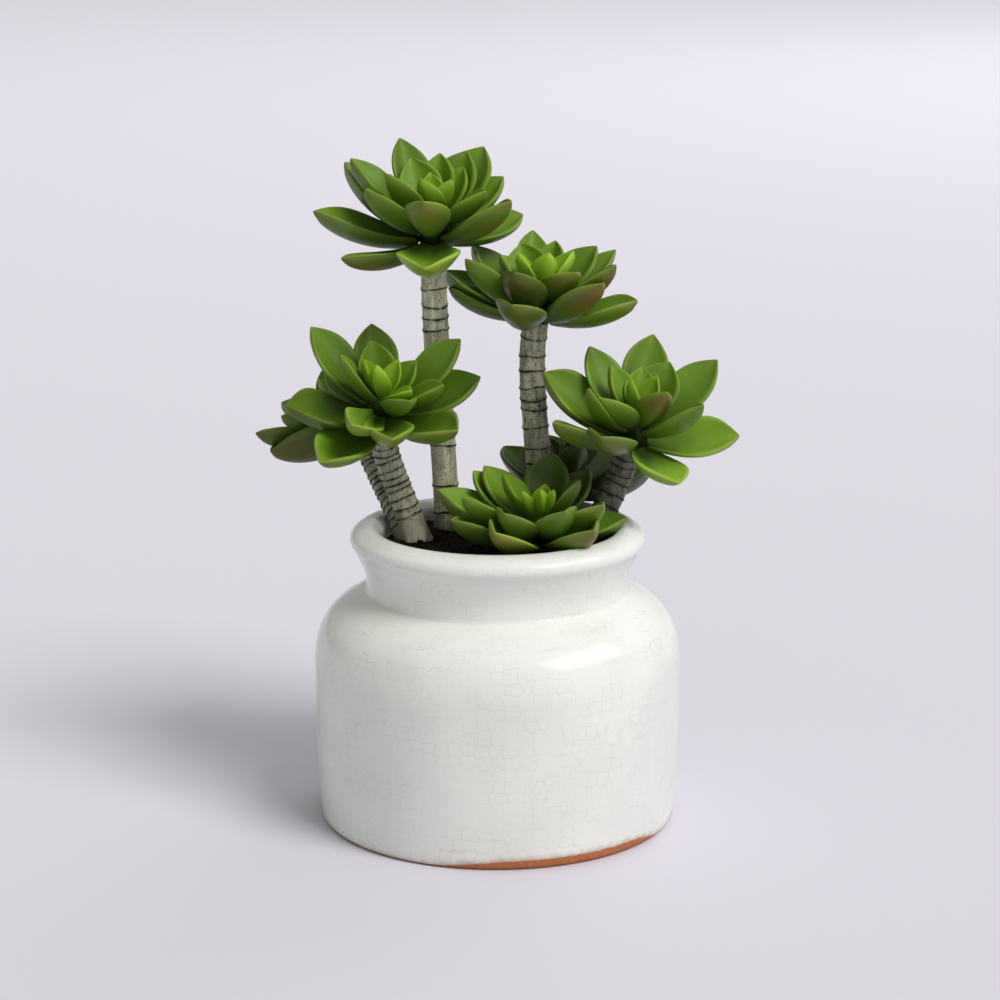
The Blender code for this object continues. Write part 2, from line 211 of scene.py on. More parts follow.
HEADS = {
    "rosette_top_left": Head(
        crown=(-24, 21, 220),
        lean=12,
        toward=-85,
        painted_shade=0.0,
        whorls={
            "outer": (
                (-142, 2, 43, 0.5, 14, 0.62), (-93, 5, 42, 0.1, 0, 1.12, 1, -0.7), (-35, 33, 42, 1, 4, 0.9),
                (34, 4, 41, 0.2, 12), (74, 12, 38), (112, 12, 38), (153, 32, 46, 0, 0, 0.92),
                (180, 13, 47, 0, 6, 0.9, 1, -0.15),
            ),
            "middle": (
                (-143, 36, 39, 0, 0, 0.88), (-96, 36, 39, 0.45, 0, 0.86), (39, 25, 37),
                (57, 37, 42), (60, 48, 35, 0, 0, 1.05), (119, 45, 41, 0, 14, 0.86, 1, 0.12),
                (165, 38, 42, 0, 0, 0.9),
            ),
            "inner": (
                (-154, 49, 30), (-35, 38, 30, 0, 8, 0.9), (54, 45, 26), (85, 51, 29, 0, -22, 0.95),
                (122, 50, 28, 0, -22, 1.05),
            ),
            "heart": ((-135, 68, 18, 0, 0, 1.2), (-30, 66, 18), (110, 70, 17)),
        },
    ),
    "rosette_top_right": Head(
        crown=(14.8, 20, 190.5),
        lean=8,
        toward=-35,
        painted_shade=0.0,
        whorls={
            "outer": (
                (-106, 18, 42, 0.5, 0, 0.92, 1, 0.15), (-53, 32, 43, 0.9, 4, 0.82),
                (-22, 20, 42, 0.1, 13, 0.92, 0.9, -0.3), (62, 12, 38), (108, 12, 38), (153, 13, 43), (166, 9, 36),
            ),
            "middle": (
                (-152, 31, 39, 0, 15, 0.75), (-110, 32, 39, 0.5, 0, 0.92, 1, 0.35),
                (-38, 37, 42, 0.7, 16, 0.7), (35, 33, 41, 0.3, 0, 0.62), (37, 43, 35, 0, 0, 1.05),
                (98, 38, 39, 0, 10, 0.75), (144, 28, 38),
            ),
            "inner": (
                (-58, 37, 29, 0.9), (76, 47, 28, 0, -24, 0.92), (115, 41, 27, 0, -20, 1.1),
                (167, 43, 23, 0, -10, 1.1),
            ),
            "heart": (
                (-173, 57, 18, 0, 0, 1, 1, -0.4), (-75, 70, 19, 0, 0, 0.9, 1, -0.4),
                (16, 56, 21, 0, 0, 0.9, 1, -0.4),
            ),
        },
    ),
    "rosette_left": Head(
        crown=(-43, 2, 155),
        lean=28,
        toward=-85,
        painted_shade=0.0,
        whorls={
            "outer": (
                (-160, 21, 41, 0, 0, 1.05, 1, 0.38), (-122, 9, 42, 0.3, 0, 1, 1, -0.25), (-42, 23, 41),
                (19, 17, 40, 0, 8, 0.92), (95, 10, 34), (128, 8, 36),
            ),
            "middle": (
                (-108, 30, 39, 0, -20, 0.78, 1, -0.4), (-83, 24, 39, 0.6, 0, 0.95, 1, -0.4),
                (29, 37, 40, 0, 0, 0.85, 0.8), (101, 27, 37, 0, 0, 0.92, 0.8), (148, 37, 42, 0, 4, 0.86, 0.8),
            ),
            "inner": (
                (-172, 57, 30, 0, 10, 0.62), (-63, 40, 30, 0, -8, 0.75), (-24, 38, 31, 0, 0, 0.72),
                (43, 41, 21), (111, 51, 25, 0, 0, 1.05),
            ),
            "heart": (
                (-132, 78, 19, 0, 0, 0.72, 1, -0.5), (-43, 41, 19, 0, 0, 0.75, 1, -0.3),
                (62, 48, 16, 0, 0, 0.8, 1, -0.3), (167, 65, 19, 0, 0, 0.7),
            ),
        },
    ),
    "rosette_left_back": Head(
        crown=(-53, 28, 144),
        lean=25,
        toward=170,
        painted_shade=0.45,
        whorls={
            "outer": (
                (-158, 25, 42, 0.4), (-140, 14, 42, 0.65, 4, 1.35), (110, 12, 40), (70, 14, 38),
                (30, 14, 34),
            ),
            "middle": ((-128, 27, 39), (142, 30, 38), (90, 35, 34), (45, 35, 30)),
            "inner": ((170, 48, 23), (110, 55, 26), (30, 50, 24)),
            "heart": ((150, 65, 18), (40, 68, 17), (-90, 68, 16)),
        },
    ),
    "rosette_right": Head(
        crown=(51.3, 8, 145.5),
        lean=22,
        toward=-50,
        painted_shade=0.0,
        whorls={
            "outer": (
                (-146, 15, 42, 0.3, 18, 0.7), (-117, 22, 39, 0.5, 12, 0.95),
                (-54, -1, 31, 0.2, -4, 1.5, 0.6, -0.8), (-2, 18, 41, 0.5, 20, 1, 0.85, -0.6),
                (45, 37, 47, 0, 0, 0.76, 0.8), (88, 37, 46, 0, 6, 0.8, 0.8), (130, 10, 38),
                (174, 23, 43, 0.5, -12),
            ),
            "middle": (
                (-141, 37, 39, 0, -10, 0.5), (-46, 46, 39, 0, 12, 0.72),
                (69, 44, 32, 0, 0, 1.1), (136, 32, 38, 0, 0, 1, 0.8),
            ),
            "inner": (
                (-139, 33, 30, 0, 14, 1.05), (-73, 56, 30, 0.9, 0, 0.76), (96, 42, 24),
                (145, 44, 25),
            ),
            "heart": ((65, 68, 18, 0, 0, 0.8), (-60, 66, 16), (180, 66, 17)),
        },
    ),
    "rosette_low_front": Head(
        crown=(16.4, -9, 110),
        lean=5,
        toward=-90,
        painted_shade=0.0,
        whorls={
            "outer": (
                (-149, 21, 42, 0.4, 0, 0.82), (-116, 21, 42, 0.6, -18, 0.92, 1, -0.6),
                (-61, 22, 42, 0.7, 18, 0.92), (8, 13, 34, 0, 6), (125, 12, 34),
                (164, 22, 44, 0, 0, 1, 1, -0.35),
            ),
            "middle": (
                (-151, 30, 39, 0, 0, 0.85), (-114, 28, 39, 0, -14, 0.88), (-76, 30, 39, 0, 14, 0.88),
                (-48, 30, 39, 0.3, 4, 0.9), (45, 36, 33, 0, 0, 1, 1, 0.55),
                (136, 34, 36, 0, 0, 1, 1, -0.3), (140, 28, 38, 0, 0, 0.85, 1, -0.3),
            ),
            "inner": ((73, 55, 29, 0, 0, 1.1, 1, 0.55), (-10, 52, 24, 0, 0, 1, 1, 0.5), (165, 52, 24)),
            "heart": (
                (-131, 51, 17, 0, 0, 0.5, 1, -0.2), (-91, 57, 17, 0, 0, 0.58, 1, -0.2),
                (-61, 55, 17, 0, 0, 0.5, 1, -0.2), (71, 66, 13),
            ),
        },
    ),
    "rosette_low_back": Head(
        crown=(27.5, 27.5, 119.5),
        lean=5,
        toward=60,
        painted_shade=1.4,
        whorls={
            "outer": ((36, 11, 42), (82, 12, 38), (130, 19, 42)),
            "middle": ((57, 20, 38), (105, 26, 36)),
            "inner": ((-80, 49, 20), (65, 40, 27), (142, 50, 20)),
            "heart": ((-176, 74, 12), (-37, 60, 13), (60, 66, 15)),
        },
    ),
}

TOP_LEFT_RINGS = (201.3, 194.4, 189.8, 185.1, 163.0, 139.8, 124.0, 113.7)
TOP_RIGHT_RINGS = (182.8, 175.5, 170.0, 163.4, 158.7, 154.8, 147.7, 139.9)
RIGHT_RINGS = (138.9, 135.0, 131.0, 127.9, 123.2, 119.3)

# Piece by piece: the node it stands for, and the stem of each rosette it carries
STEMS = {
    "stem_top_left": {"rosette_top_left": Stem((-19.5, 25), (-0.03, 0.0), 12.0, 0.4, TOP_LEFT_RINGS, -0.1)},
    "stem_top_right": {"rosette_top_right": Stem((17.7, 19.5), (0.0, 0.0), 5.6, 0.4, TOP_RIGHT_RINGS, 0.38)},
    "stem_right": {"rosette_right": Stem((35, 4), (0.5, 0.1), 3.8, 0.4, RIGHT_RINGS, 0.82)},
    "stem_low_front": {"rosette_low_front": Stem((16.4, -9), (0.0, 0.0), 4.0, 0.0, (), 0.4)},
    "stem_low_back": {"rosette_low_back": Stem((27.2, 27), (0.0, 0.0), 4.0, 0.0, (), 0.4)},
    "stem_fork_left": {
        "rosette_left": Stem((-31, 6), (-0.2, 0.0), 3.0, 1.2, (), 0.25),
        "rosette_left_back": Stem((-33.5, 8), (-0.45, 0.33), 3.0, 0.6, (), 0.3),
    },
}

# Stage: area lights by place, target, size, power and colour
FLOOR_HALF = 14.0
SUN_ANGLE = 29.0
SUN_DIRECTION = (-0.64, 0.6, -1.0)
SUN_COLOUR = (1.0, 0.985, 0.96)
SOFT_BOX = ((1.04, -0.47, 0.98), (0.0, 0.0, 0.08), (1.3, 0.6), 7.8, (1.0, 0.99, 0.97))
BACK_LIGHT = ((2.0, 3.4, 2.4), (1.0, 3.0, 0.0), (3.0, 3.0), 38.0, (1.0, 0.99, 1.0))
ROOM_LEFT = (0.7, 0.74, 0.66)
ROOM_RIGHT = (1.03, 1.03, 1.08)
BACKDROP = (1.33, 1.29, 1.4)

# Camera: its place, its pitch below the horizon and its lens
CAMERA_PLACE = (0.00103, -1.0018, 0.3585)
CAMERA_PITCH = 13.2
CAMERA_LENS = 97.52


class PotSettings(bpy.types.PropertyGroup):
    """The glazed pot."""

    glaze: bpy.props.FloatVectorProperty(
        name="Glaze", description="Colour of the glaze",
        subtype="COLOR", default=(0.8, 0.808, 0.765), min=0, max=1,
    )
    crack: bpy.props.FloatVectorProperty(
        name="Cracks", description="Colour in the glaze's cracks",
        subtype="COLOR", default=(0.5, 0.51, 0.44), min=0, max=1,
    )
    clay: bpy.props.FloatVectorProperty(
        name="Clay", description="Colour of the bare clay at the foot",
        subtype="COLOR", default=(0.52, 0.165, 0.052), min=0, max=1,
    )
    crack_cell: bpy.props.FloatProperty(
        name="Crack Spacing", description="Width of a field between cracks",
        unit="LENGTH", default=4.6 * MM, min=1 * MM,
    )


class PlantSettings(bpy.types.PropertyGroup):
    """Leaves, stems and soil."""

    leaf: bpy.props.FloatVectorProperty(
        name="Leaf", description="Colour of a grown leaf",
        subtype="COLOR", default=(0.12, 0.23, 0.016), min=0, max=1,
    )
    # Painted shade: the deep green towards a leaf's root, deep in the rosette
    shade: bpy.props.FloatVectorProperty(
        name="Leaf Base", description="Colour towards a leaf's root",
        subtype="COLOR", default=(0.03, 0.06, 0.004), min=0, max=1,
    )
    # Partly the leaf's own colour and partly painted light on the rounded rim
    rim: bpy.props.FloatVectorProperty(
        name="Leaf Rim", description="Colour along a leaf's rim",
        subtype="COLOR", default=(0.19, 0.29, 0.035), min=0, max=1,
    )
    heart: bpy.props.FloatVectorProperty(
        name="Heart", description="Colour of the youngest leaves",
        subtype="COLOR", default=(0.22, 0.38, 0.02), min=0, max=1,
    )
    blush: bpy.props.FloatVectorProperty(
        name="Blush", description="Colour of the flush near some tips",
        subtype="COLOR", default=(0.17, 0.075, 0.024), min=0, max=1,
    )
    bark: bpy.props.FloatVectorProperty(
        name="Bark", description="Colour of the stems",
        subtype="COLOR", default=(0.61, 0.6, 0.42), min=0, max=1,
    )
    scar: bpy.props.FloatVectorProperty(
        name="Ring Scars", description="Colour of the rings and flecks",
        subtype="COLOR", default=(0.016, 0.015, 0.01), min=0, max=1,
    )
    soil: bpy.props.FloatVectorProperty(
        name="Soil", description="Colour of the potting soil",
        subtype="COLOR", default=(0.007, 0.005, 0.003), min=0, max=1,
    )


class StageSettings(bpy.types.PropertyGroup):
    """Floor, light and camera."""

    floor: bpy.props.FloatVectorProperty(
        name="Floor", description="Colour of the floor",
        subtype="COLOR", default=(0.665, 0.64, 0.708), min=0, max=1,
    )
    sun: bpy.props.FloatProperty(name="Main Light", description="Strength of the main light", default=2.25, min=0)
    sky: bpy.props.FloatProperty(name="Fill Light", description="Strength of the light all round", default=0.51, min=0)


class NodeGraph:
    """Short calls for adding linked nodes to a tree."""

    def __init__(self, tree):
        self.tree = tree

    def fill(self, socket, value):
        if isinstance(value, bpy.types.NodeSocket):
            self.tree.links.new(value, socket)
        else:
            socket.default_value = value

    def add(self, kind, inputs=None, **settings):
        node = self.tree.nodes.new("ShaderNode" + kind)
        for name, value in settings.items():
            setattr(node, name, value)
        for name, value in (inputs or {}).items():
            self.fill(node.inputs[name], value)
        return node

    def math(self, operation, *values):
        node = self.add("Math", operation=operation)
        for socket, value in zip(node.inputs, values):
            self.fill(socket, value)
        return node.outputs[0]

    def times(self, a, b):
        return self.math("MULTIPLY", a, b)

    def plus(self, a, b):
        return self.math("ADD", a, b)

    def minus(self, a, b):
        return self.math("SUBTRACT", a, b)

    def spread(self, value, low, high, to_low=0.0, to_high=1.0):
        """The value mapped smoothly from one range to another."""
        node = self.add("MapRange", interpolation_type="SMOOTHSTEP")
        for socket, given in zip(node.inputs, (value, low, high, to_low, to_high)):
            self.fill(socket, given)
        return node.outputs[0]

    def mix(self, factor, a, b, blend="MIX"):
        node = self.add("Mix", data_type="RGBA", blend_type=blend)
        for index, value in ((0, factor), (6, a), (7, b)):
            self.fill(node.inputs[index], value)
        return node.outputs[2]

    def dimmed(self, colour, share):
        """The colour times the share."""
        grey = self.add("CombineColor", {"Red": share, "Green": share, "Blue": share}).outputs[0]
        return self.mix(1.0, colour, grey, "MULTIPLY")

    def noise(self, vector, scale, detail=3.0, roughness=0.55):
        inputs = {"Vector": vector, "Scale": scale, "Detail": detail, "Roughness": roughness}
        return self.add("TexNoise", inputs).outputs[0]

    def attribute(self, name):
        return self.add("Attribute", attribute_name=name).outputs["Fac"]

    def object_place(self, stretch=(1.0, 1.0, 1.0)):
        place = self.add("TexCoord").outputs["Object"]
        return self.add("Mapping", {"Vector": place, "Scale": stretch}).outputs[0]


def rgba(colour, share=1.0):
    """The colour times the share, with full alpha."""
    return (*(Vector(colour) * share), 1.0)


def new_material(name):
    """A material with its graph and its Principled shader."""
    made = bpy.data.materials.new(name)
    made.use_nodes = True
    return made, NodeGraph(made.node_tree), made.node_tree.nodes["Principled BSDF"]


def new_group(name, inputs, outputs):
    """A shader node group with its sockets, and its graph and ends."""
    tree = bpy.data.node_groups.new(name, "ShaderNodeTree")
    for title, kind, default in inputs:
        socket = tree.interface.new_socket(title, in_out="INPUT", socket_type=kind)
        if default is not None:
            socket.default_value = default
    for title in outputs:
        tree.interface.new_socket(title, in_out="OUTPUT", socket_type="NodeSocketFloat")
    graph = NodeGraph(tree)
    return graph, tree.nodes.new("NodeGroupInput"), tree.nodes.new("NodeGroupOutput")


def wobbled(graph, place, scale, detail, amount):
    """The place with a little noise mixed in, so that a pattern on it isn't regular."""
    wobble = graph.add("TexNoise", {"Vector": place, "Scale": scale, "Detail": detail}).outputs["Color"]
    moved = graph.add("Mix", data_type="VECTOR")
    for index, value in ((0, amount), (4, place), (5, wobble)):
        graph.fill(moved.inputs[index], value)
    return moved.outputs[1]


def flecks_group():
    """Small dark flecks: a share of the cells of a Voronoi pattern, each with a size of its own."""
    sockets = (
        ("Vector", "NodeSocketVector", None),
        ("Scale", "NodeSocketFloat", 900.0),
        ("Size", "NodeSocketFloat", 0.3),
        ("Share", "NodeSocketFloat", 0.5),
    )
    graph, start, end = new_group("flecks", sockets, ("Mask",))
    given = start.outputs
    place = wobbled(graph, given["Vector"], 700.0, 2.0, 0.0006)
    cells = graph.add("TexVoronoi", {"Vector": place, "Scale": given["Scale"]}).outputs
    draws = graph.add("SeparateColor", {"Color": cells["Color"]}).outputs
    radius = graph.times(draws[0], given["Size"])
    dot = graph.spread(graph.minus(radius, cells["Distance"]), 0.0, 0.08)
    picked = graph.math("LESS_THAN", draws[1], given["Share"])
    graph.fill(end.inputs["Mask"], graph.times(dot, picked))
    return graph.tree


def crackle_group():
    """Thin cracks round the fields of a glaze, stronger in some places than in others."""
    sockets = (
        ("Vector", "NodeSocketVector", None),
        ("Cell", "NodeSocketFloat", 5.0 * MM),
        ("Width", "NodeSocketFloat", 0.02),
    )
    graph, start, end = new_group("crackle", sockets, ("Mask",))
    given = start.outputs
    place = wobbled(graph, given["Vector"], 190.0, 3.0, 0.0013)
    inputs = {"Vector": place, "Scale": graph.math("DIVIDE", 1.0, given["Cell"]), "Randomness": 0.5}
    cells = graph.add("TexVoronoi", inputs, feature="DISTANCE_TO_EDGE")
    line = graph.spread(cells.outputs["Distance"], 0.0, given["Width"], 1.0, 0.0)
    strength = graph.spread(graph.noise(given["Vector"], 95.0, 2.0), 0.38, 0.66, 0.08, 1.0)
    graph.fill(end.inputs["Mask"], graph.times(line, strength))
    return graph.tree


def place_group(graph, name, maker, inputs):
    """The first output, in a material, of the group of that name, made when it is first used."""
    tree = bpy.data.node_groups.get(name) or maker()
    node = graph.add("Group", node_tree=tree)
    for title, value in inputs.items():
        graph.fill(node.inputs[title], value)
    return node.outputs[0]


def flecks(graph, place, scale, size, share):
    """A mask of small flecks."""
    inputs = {"Vector": place, "Scale": scale, "Size": size, "Share": share}
    return place_group(graph, "flecks", flecks_group, inputs)


def crackle(graph, place, cell, width):
    """A mask of thin cracks."""
    return place_group(graph, "crackle", crackle_group, {"Vector": place, "Cell": cell, "Width": width})


def pot_skin(graph, xyz):
    """The place unrolled round the pot, so that cracks run over the skin and not through it."""
    round_pot = graph.times(graph.math("ARCTAN2", xyz[0], graph.times(xyz[1], -1.0)), SKIN_RADIUS)
    squares = graph.plus(graph.times(xyz[0], xyz[0]), graph.times(xyz[1], xyz[1]))
    inputs = {"X": round_pot, "Y": graph.math("SQRT", squares), "Z": xyz[2]}
    return graph.add("CombineXYZ", inputs).outputs[0]


def clay_band(graph, xyz, place):
    """Masks of the bare clay at the foot, and of the thin, streaked glaze along its edge."""
    side = graph.times(graph.minus(xyz[0], CLAY_CENTRE), 1.0 / CLAY_HALF_WIDTH)
    bulge = graph.spread(graph.times(side, side), 0.0, 1.0, 1.0, 0.0)
    edge = graph.times(graph.times(bulge, graph.spread(xyz[1], *CLAY_FRONT)), CLAY_HEIGHT)
    ragged = graph.times(graph.minus(graph.noise(place, 160.0, 4.0), 0.5), 1.1 * MM)
    height = graph.minus(xyz[2], graph.plus(edge, ragged))
    bare = graph.spread(height, 0.9 * MM, 0.1 * MM)
    streaks = graph.minus(graph.noise(graph.object_place((1.0, 1.0, 0.2)), 420.0), 0.5)
    thin = graph.spread(graph.plus(height, graph.times(streaks, 3.4 * MM)), 3.0 * MM, 0.2 * MM)
    return bare, thin


def glaze_material(look):
    """Glossy crackle glaze, run thin to bare clay along one side of the foot."""
    made, graph, shader = new_material("crackle_glaze")
    place = graph.object_place()
    xyz = graph.add("SeparateXYZ", {"Vector": place}).outputs
    skin = pot_skin(graph, xyz)
    shifted = graph.add("Mapping", {"Vector": skin, "Location": SMALL_CRACK_SHIFT, "Scale": (1.0, 1.0, 0.8)})
    large = crackle(graph, skin, look.crack_cell, 0.042)
    small = crackle(graph, shifted.outputs[0], look.crack_cell * 0.5, 0.06)
    cracks = graph.math("MAXIMUM", large, graph.times(small, 0.5))
    cloud = graph.spread(graph.noise(place, 28.0, 4.0), 0.35, 0.7)
    body = graph.mix(cloud, rgba(look.glaze), rgba(look.glaze, 0.93))
    body = graph.mix(graph.times(cracks, 0.42), body, rgba(look.crack))
    dots = flecks(graph, place, 420.0, 0.16, 0.05)
    body = graph.mix(graph.times(dots, 0.6), body, rgba(GLAZE_SPECK))

    bare, thin = clay_band(graph, xyz, place)
    clay_tone = graph.spread(graph.noise(place, 700.0, 4.0, 0.7), 0.3, 0.7)
    clay = graph.mix(clay_tone, rgba(look.clay), rgba(look.clay, 0.72))
    body = graph.mix(graph.times(thin, 0.6), body, rgba(THIN_GLAZE))
    graph.fill(shader.inputs["Base Color"], graph.mix(bare, body, clay))
    glossy = graph.plus(0.13, graph.times(cracks, 0.12))
    graph.fill(shader.inputs["Roughness"], graph.plus(glossy, graph.times(bare, 0.6)))
    height = graph.minus(graph.noise(place, 34.0, 2.0), graph.times(cracks, 0.04))
    height = graph.plus(height, graph.times(graph.times(clay_tone, bare), 0.1))
    relief = graph.add("Bump", {"Height": height, "Strength": 0.35, "Distance": 0.9 * MM})
    graph.fill(shader.inputs["Normal"], relief.outputs[0])
    return made


def soil_material(look):
    """Damp potting soil, with paler grains in it."""
    made, graph, shader = new_material("potting_soil")
    place = graph.object_place()
    tone = graph.spread(graph.noise(place, 420.0, 6.0, 0.7), 0.3, 0.72)
    colour = graph.mix(tone, rgba(look.soil, 0.4), rgba(look.soil))
    red = graph.spread(graph.noise(place, 120.0, 3.0), 0.5, 0.72)
    colour = graph.mix(graph.times(red, 0.5), colour, rgba(RED_SOIL))
    grains = flecks(graph, place, 650.0, 0.4, 0.05)
    colour = graph.mix(graph.times(grains, 0.6), colour, rgba(PALE_GRAIN))
    graph.fill(shader.inputs["Base Color"], colour)
    graph.fill(shader.inputs["Roughness"], graph.spread(tone, 0.0, 1.0, 0.98, 0.8))
    shader.inputs["Specular IOR Level"].default_value = 0.15
    relief = graph.add("Bump", {"Height": graph.noise(place, 900.0, 6.0, 0.75), "Strength": 0.9, "Distance": 0.8 * MM})
    graph.fill(shader.inputs["Normal"], relief.outputs[0])
    return made


def bark_material(look):
    """Pale dry bark with black ring scars, flecks and short upright cracks, dimmed by painted shade."""
    made, graph, shader = new_material("ringed_bark")
    place = graph.object_place()
    upright = graph.object_place((1.0, 1.0, 0.22))
    tone = graph.spread(graph.noise(upright, 520.0, 5.0, 0.65), 0.3, 0.72)
    colour = graph.mix(tone, rgba(look.bark, 0.55), rgba(look.bark, 1.35))
    stain = graph.spread(graph.noise(place, 90.0, 4.0, 0.6), 0.5, 0.75)
    colour = graph.mix(graph.times(stain, 0.45), colour, rgba(BARK_STAIN))

    away = graph.attribute("scar_distance")
    ragged = graph.times(graph.minus(graph.noise(place, 900.0, 3.0), 0.5), 0.75)
    swell = graph.spread(graph.noise(place, 230.0, 2.0), 0.35, 0.65, 0.7, 1.7)
    near = graph.times(graph.plus(away, ragged), swell)
    ring = graph.spread(near, 0.52, 0.26)
    shadow = graph.spread(near, 1.6, 0.3)
    colour = graph.mix(graph.times(shadow, 0.28), colour, rgba(SCAR_SHADOW))
    dots = flecks(graph, place, 1700.0, 0.62, 0.42)
    streaks = flecks(graph, upright, 900.0, 0.46, 0.16)
    painted_shade = graph.attribute("painted_shade")
    # The painted shade also thickens the flecks, which are real marks of the bark
    patches = graph.spread(graph.plus(graph.noise(place, 210.0, 2.0), graph.times(painted_shade, 0.3)), 0.36, 0.6)
    marks = graph.math("MAXIMUM", graph.times(dots, patches), graph.times(streaks, 0.8))
    marks = graph.math("MAXIMUM", graph.times(marks, 0.9), graph.times(ring, 0.97))
    colour = graph.mix(marks, colour, rgba(look.scar))
    # Painted shade: the bark is dimmed where the stem stands in shade, under the rosettes and low in the pot
    colour = graph.dimmed(colour, graph.minus(1.0, graph.times(painted_shade, 0.6)))
    colour = graph.mix(graph.times(graph.attribute("foot"), 0.55), colour, rgba(STEM_FOOT))
    strands = graph.spread(graph.noise(graph.object_place((1.0, 1.0, 0.12)), 420.0, 3.0), 0.42, 0.6, 0.25, 1.5)
    colour = graph.mix(graph.times(strands, graph.attribute("strands")), colour, rgba(FOOT_STRANDS))
    graph.fill(shader.inputs["Base Color"], colour)
    graph.fill(shader.inputs["Roughness"], graph.spread(tone, 0.0, 1.0, 0.78, 0.6))
    depth = graph.minus(graph.noise(upright, 700.0, 5.0, 0.7), graph.times(marks, 0.8))
    relief = graph.add("Bump", {"Height": depth, "Strength": 0.5, "Distance": 0.25 * MM})
    graph.fill(shader.inputs["Normal"], relief.outputs[0])
    return made


def leaf_material(look):
    """Waxy flesh: deep green at the root and darker beneath by painted shade, paler towards the tip by painted light,
    pale along the rim partly by colour and partly by painted light, red near some tips.
    """
    made, graph, shader = new_material("waxy_leaf")
    place = graph.object_place()
    along = graph.attribute("along")
    across = graph.attribute("across")
    under = graph.attribute("under")
    young = graph.attribute("young")
    # Painted shade and light: darker towards the root, deep in the rosette, and paler towards the tip
    outward = graph.plus(along, graph.times(graph.minus(graph.noise(place, 70.0, 3.0), 0.5), 0.5))
    colour = graph.mix(graph.spread(outward, 0.12, 0.82), rgba(look.shade), rgba(look.leaf))
    colour = graph.mix(graph.times(graph.spread(outward, 0.55, 1.0), 0.4), colour, rgba(look.leaf, 1.45))
    # Painted shade: the undersides, turned away from the light, are darker
    colour = graph.mix(graph.times(under, 0.6), colour, rgba(look.leaf, 0.5))
    # Paler along the rim: partly the leaf's own colour and partly painted light on the rounded rim
    rim = graph.spread(across, RIM_START - 0.04, 0.93)
    colour = graph.mix(graph.times(rim, 0.4), colour, rgba(look.rim))
    bright = graph.mix(graph.spread(along, 0.15, 0.85), rgba(look.heart, 0.6), rgba(look.heart))
    colour = graph.mix(graph.times(young, 0.85), colour, bright)
    patch = graph.spread(graph.noise(place, 75.0, 1.5), 0.3, 0.62)
    outer = graph.times(graph.spread(along, 0.48, 0.78), graph.spread(along, 1.0, 0.93, 0.35, 1.0))
    reach = graph.times(outer, graph.spread(across, 0.98, 0.6, 0.25, 1.0))
    reach = graph.times(reach, graph.spread(under, 0.0, 1.0, 0.3, 1.0))
    flush = graph.times(graph.times(graph.attribute("blush"), reach), patch)
    colour = graph.mix(graph.times(flush, 0.85), colour, rgba(look.blush))
    edge = graph.plus(graph.times(graph.spread(across, 0.5, 1.0), 0.16), along)
    uneven = graph.times(graph.minus(graph.noise(place, 60.0, 2.0), 0.5), 0.5)
    bronze = graph.spread(graph.plus(edge, uneven), 0.86, 1.12)
    bronze = graph.times(bronze, graph.minus(0.34, graph.times(young, 0.34)))
    colour = graph.mix(bronze, colour, rgba(LEAF_BRONZE))
    # Each leaf's own tone, dimmed by its painted shade
    graph.fill(shader.inputs["Base Color"], graph.dimmed(colour, graph.attribute("tone_and_shade")))
    waxy = graph.spread(graph.noise(place, 240.0, 3.0), 0.3, 0.7, 0.34, 0.46)
    graph.fill(shader.inputs["Roughness"], waxy)
    shader.inputs["Specular IOR Level"].default_value = 0.3
    shader.inputs["Subsurface Weight"].default_value = 0.06
    shader.inputs["Subsurface Scale"].default_value = 2.0 * MM
    shader.inputs["Subsurface Radius"].default_value = (0.5, 1.0, 0.1)
    relief = graph.add("Bump", {"Height": graph.noise(place, 480.0, 4.0, 0.6), "Strength": 0.12, "Distance": 0.25 * MM})
    graph.fill(shader.inputs["Normal"], relief.outputs[0])
    return made


def floor_material(look):
    """Plain and matt."""
    made, _, shader = new_material("pale_floor")
    shader.inputs["Base Color"].default_value = rgba(look.floor)
    shader.inputs["Roughness"].default_value = 0.9
    shader.inputs["Specular IOR Level"].default_value = 0.0
    return made


def add_piece(name, bm, finish, slot, *nodes):
    """A smooth piece that rides on the body and stands for the nodes named."""
    mesh = bpy.data.meshes.new(name)
    bm.to_mesh(mesh)
    bm.free()
    mesh.shade_smooth()
    mesh.materials.append(finish)
    piece = bpy.data.objects.new(name, mesh)
    bpy.context.scene.collection.objects.link(piece)
    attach(piece, "root")
    if nodes:
        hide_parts(*nodes)


def bezier(start, start_pull, end_pull, end, steps):
    """Points (radius, height) along one curve, both ends included."""
    ends = [Vector((*point, 0.0)) for point in (start, start_pull, end_pull, end)]
    return [(point.x, point.y) for point in interpolate_bezier(*ends, steps)]


def lip_outline(start, end, steps):
    """Points (radius, height) round the rolled lip, wider outside its crest than inside."""
    points = []
    for step in range(steps + 1):
        angle = math.radians(start + (end - start) * step / steps)
        reach = LIP_OUT if angle < math.pi / 2 else LIP_IN
        radius = LIP_CENTRE[0] + reach * math.cos(angle)
        points.append((radius, LIP_CENTRE[1] + LIP_HALF_HEIGHT * math.sin(angle)))
    return points


